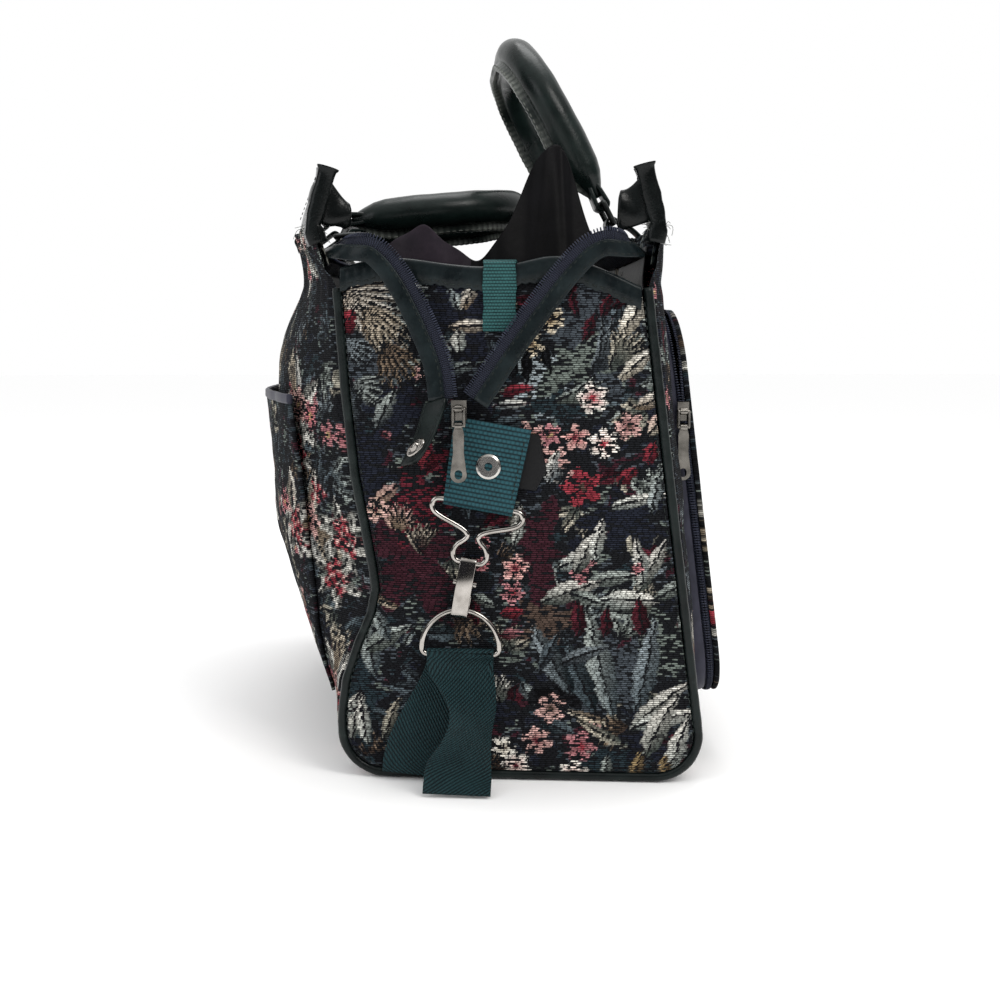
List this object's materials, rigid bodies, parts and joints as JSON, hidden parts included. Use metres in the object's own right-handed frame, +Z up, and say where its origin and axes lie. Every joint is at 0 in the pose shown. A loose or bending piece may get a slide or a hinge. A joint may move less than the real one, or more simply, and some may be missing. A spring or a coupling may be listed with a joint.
{
  "type": "travel bag",
  "caption": "Soft tapestry travel bag standing open, with rolled leather handles, a drooping main zip, a front zip pocket and a strap clip on its end.",
  "frame": {"origin": "Middle of the base, on the floor", "axes": "+X to the front side with the zip pocket, +Y to the far end, +Z up; the near end with the strap clip faces -Y"},
  "size_m": [0.3133, 0.4913, 0.4797],
  "materials": {
    "tapestry": "matt woven tapestry with a floral pattern",
    "lining_cloth": "matt black-violet lining cloth",
    "board": "plain stiff fibre board, hidden",
    "dark_leather": "dark green leather, worn at the edges",
    "facing_leather": "grey-green leather, stitched",
    "webbing": "teal woven webbing",
    "zip_cloth": "smooth navy-black zip cloth",
    "zip_nylon": "dark nylon coil",
    "nickel": "worn nickel plate"
  },
  "bodies": {
    "bag": {"end_panel_near": "tapestry", "end_panel_far": "tapestry", "back_panel": "tapestry", "front_panel": "tapestry", "base_panel": "tapestry", "base_board": "board", "lining": "lining_cloth", "piping_near": "dark_leather", "piping_far": "dark_leather", "binding_near": "dark_leather", "binding_far": "dark_leather", "grab_loop_near": "webbing", "grab_loop_far": "webbing", "ear_near_back": "dark_leather", "ear_near_front": "dark_leather", "ear_far_back": "dark_leather", "ear_far_front": "dark_leather", "corner_snaps": "nickel", "zip_tape_back": "zip_cloth", "zip_tape_front": "zip_cloth", "zip_coil_back": "zip_nylon", "zip_coil_front": "zip_nylon", "zip_facing_back": "facing_leather", "zip_facing_front": "facing_leather", "zip_slider": "nickel", "zip_end_tab": "dark_leather", "zip_end_snap": "nickel", "zip_far_stop": "dark_leather", "end_flap": "lining_cloth", "chapes_back": "dark_leather", "chapes_front": "dark_leather", "pocket_gusset": "zip_cloth", "pocket_zip": "zip_cloth", "pocket_coil": "zip_nylon", "pocket_front": "tapestry", "slip_pocket": "tapestry", "slip_binding": "zip_cloth", "clip_tab": "webbing", "clip_patch": "zip_cloth", "clip_socket": "nickel"},
    "front_handle": {"handle_front": "dark_leather", "handle_rings_front": "nickel"},
    "back_handle": {"handle_back": "dark_leather", "handle_rings_back": "nickel"},
    "main_link": {"zip_link": "nickel"},
    "main_pull": {"zip_pull": "nickel"},
    "side_slider": {"pocket_slider": "nickel"},
    "side_link": {"pocket_link": "nickel"},
    "side_pull": {"pocket_pull": "nickel"},
    "omega": {"clip_wire": "nickel"},
    "clip_hook": {"hook": "nickel", "hook_pin": "nickel"},
    "gate": {"hook_gate": "nickel"},
    "strap_end": {"strap_ring": "nickel", "strap": "webbing"}
  },
  "joints": [
    {"name": "front_handle_swing", "type": "hinge", "parent": "bag", "child": "front_handle", "pos_m": [0.07189, -0.01017, 0.35185], "axis": [0, 1, 0], "range_deg": [-18, 104]},
    {"name": "back_handle_swing", "type": "hinge", "parent": "bag", "child": "back_handle", "pos_m": [-0.12673, 0.01504, 0.35388], "axis": [0, 1, 0], "range_deg": [-164, 0]},
    {"name": "main_link_swing", "type": "hinge", "parent": "bag", "child": "main_link", "pos_m": [-0.03742, -0.23257, 0.2324], "axis": [-0.9925, 0.1219, 0], "range_deg": [0, 110]},
    {"name": "main_pull_swing", "type": "hinge", "parent": "main_link", "child": "main_pull", "pos_m": [-0.03742, -0.23257, 0.2224], "axis": [-0.9925, 0.1219, 0], "range_deg": [0, 60]},
    {"name": "side_zip_slide", "type": "slide", "parent": "bag", "child": "side_slider", "axis": [-0.123, 0.0151, 0.9923], "range_m": [-0.12, 0.02]},
    {"name": "side_link_swing", "type": "hinge", "parent": "side_slider", "child": "side_link", "pos_m": [0.10783, -0.17528, 0.22743], "axis": [-1, 0, 0], "range_deg": [0, 100]},
    {"name": "side_pull_swing", "type": "hinge", "parent": "side_link", "child": "side_pull", "pos_m": [0.10783, -0.17528, 0.21743], "axis": [-1, 0, 0], "range_deg": [0, 60]},
    {"name": "omega_swing", "type": "hinge", "parent": "bag", "child": "omega", "pos_m": [-0.02515, -0.22289, 0.174], "axis": [-0.9775, 0.12, 0.1736], "range_deg": [0, 60]},
    {"name": "hook_swing", "type": "hinge", "parent": "omega", "child": "clip_hook", "pos_m": [-0.03135, -0.22213, 0.13855], "axis": [-0.9775, 0.12, 0.1736], "range_deg": [0, 45]},
    {"name": "gate_press", "type": "hinge", "parent": "clip_hook", "child": "gate", "pos_m": [-0.03352, -0.22126, 0.12574], "axis": [-0.9775, 0.12, 0.1736], "range_deg": [0, 20], "stiffness_Nm_per_rad": 0.01, "springref_deg": -17.19},
    {"name": "strap_swing", "type": "hinge", "parent": "clip_hook", "child": "strap_end", "pos_m": [-0.03632, -0.21981, 0.109], "axis": [-0.9775, 0.12, 0.1736], "range_deg": [0, 40]}
  ]
}
